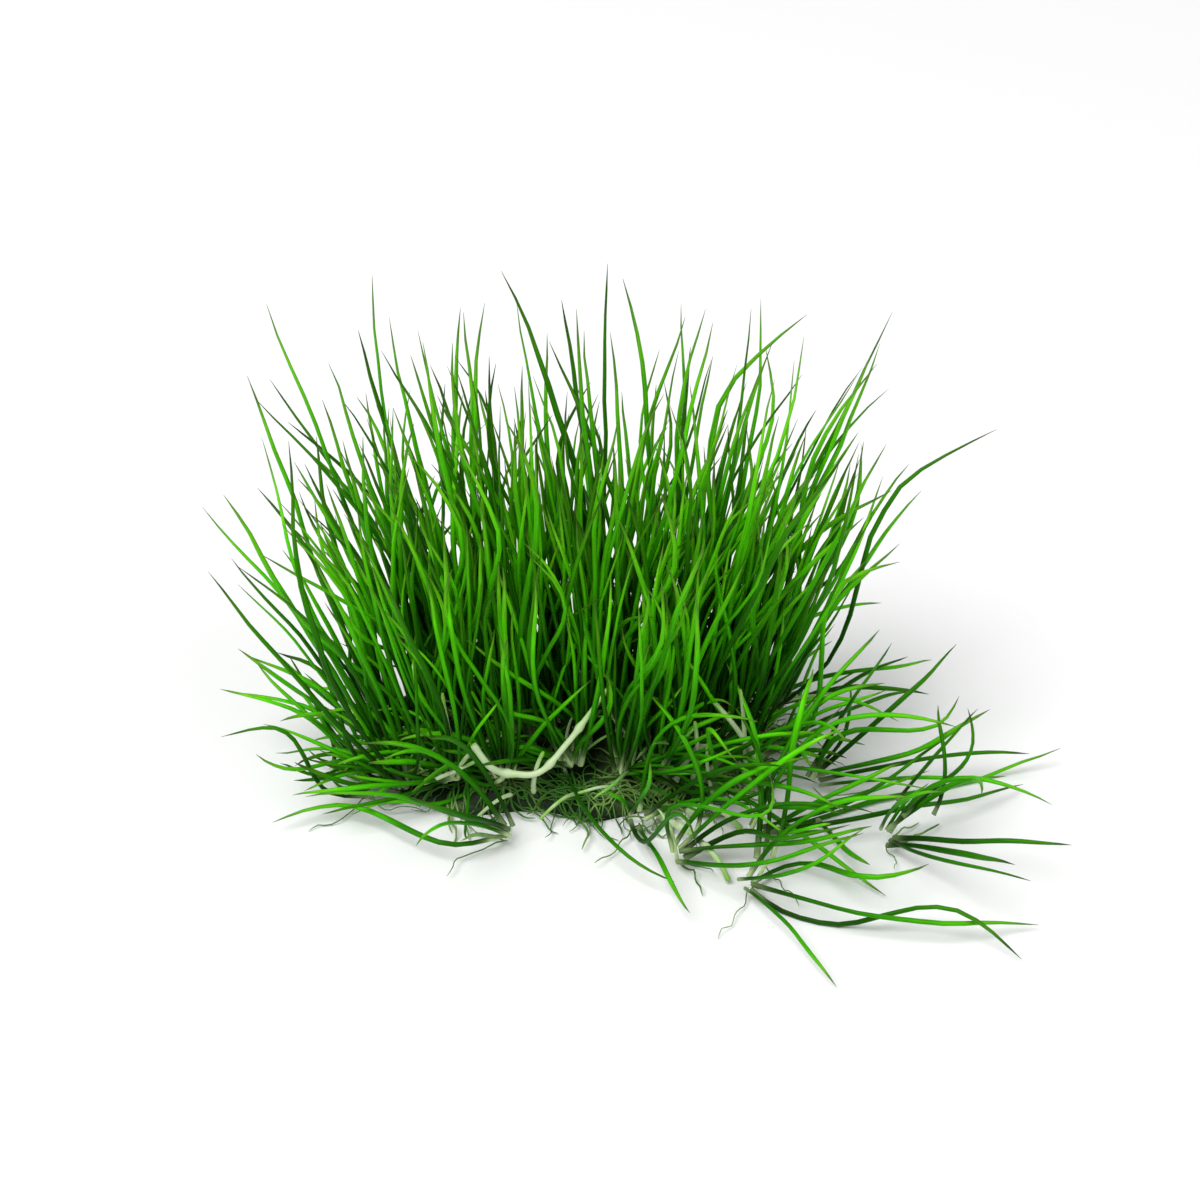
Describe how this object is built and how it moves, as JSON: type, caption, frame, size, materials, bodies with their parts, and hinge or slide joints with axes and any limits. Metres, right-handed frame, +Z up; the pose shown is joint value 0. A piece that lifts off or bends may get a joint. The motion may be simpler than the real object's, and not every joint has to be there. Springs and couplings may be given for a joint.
{
  "type": "dwarf hairgrass clump",
  "caption": "Bare-rooted clump of dwarf hairgrass: tufts of fine needle blades and pale runners on a low mat of roots, standing by itself.",
  "frame": {"origin": "on the ground, on the flat underside of the root mat, close to its middle", "axes": "+Z up along the upright blades, +X to the right of the clump's front, where the loose tufts reach furthest, +Y towards its back"},
  "size_m": [0.1174, 0.0814, 0.07],
  "materials": {
    "blades": "satin",
    "runners": "satin",
    "roots": "matte"
  },
  "bodies": {
    "root": {"root_mat": "roots", "runner_arched": "runners", "runner_left": "runners", "runner_right": "runners", "runner_to_front_right": "runners", "runner_to_right": "runners", "tuft_front_1": "blades", "tuft_front_2": "blades", "tuft_front_3": "blades", "tuft_front_4": "blades", "tuft_front_5": "blades", "tuft_hollow_1": "blades", "tuft_hollow_2": "blades", "tuft_left_fan_1": "blades", "tuft_left_fan_2": "blades", "tuft_left_fan_3": "blades", "tuft_left_fan_4": "blades", "tuft_left_fan_5": "blades", "tuft_left_fan_6": "blades", "tuft_left_fan_8": "blades", "tuft_left_fan_9": "blades", "tuft_left_stand_1": "blades", "tuft_left_stand_2": "blades", "tuft_left_stand_3": "blades", "tuft_left_stand_4": "blades", "tuft_loose_back_right": "blades", "tuft_loose_far_right": "blades", "tuft_loose_front": "blades", "tuft_loose_front_right": "blades", "tuft_loose_left": "blades", "tuft_loose_near": "blades", "tuft_loose_right": "blades", "tuft_middle_stand_1": "blades", "tuft_middle_stand_2": "blades", "tuft_middle_stand_3": "blades", "tuft_middle_stand_4": "blades", "tuft_middle_stand_5": "blades", "tuft_middle_stand_6": "blades", "tuft_middle_stand_7": "blades", "tuft_net_back": "blades", "tuft_net_far": "blades", "tuft_net_front": "blades", "tuft_net_left": "blades", "tuft_net_middle": "blades", "tuft_right_fan_1": "blades", "tuft_right_fan_2": "blades", "tuft_right_fan_3": "blades", "tuft_right_fan_4": "blades", "tuft_right_fan_5": "blades", "tuft_right_fan_6": "blades", "tuft_right_fan_7": "blades", "tuft_right_fan_8": "blades", "tuft_right_stand_1": "blades", "tuft_right_stand_2": "blades", "tuft_right_stand_3": "blades", "tuft_right_stand_4": "blades", "tuft_right_stand_5": "blades", "tuft_right_stand_6": "blades", "tuft_right_stand_8": "blades"}
  },
  "joints": []
}
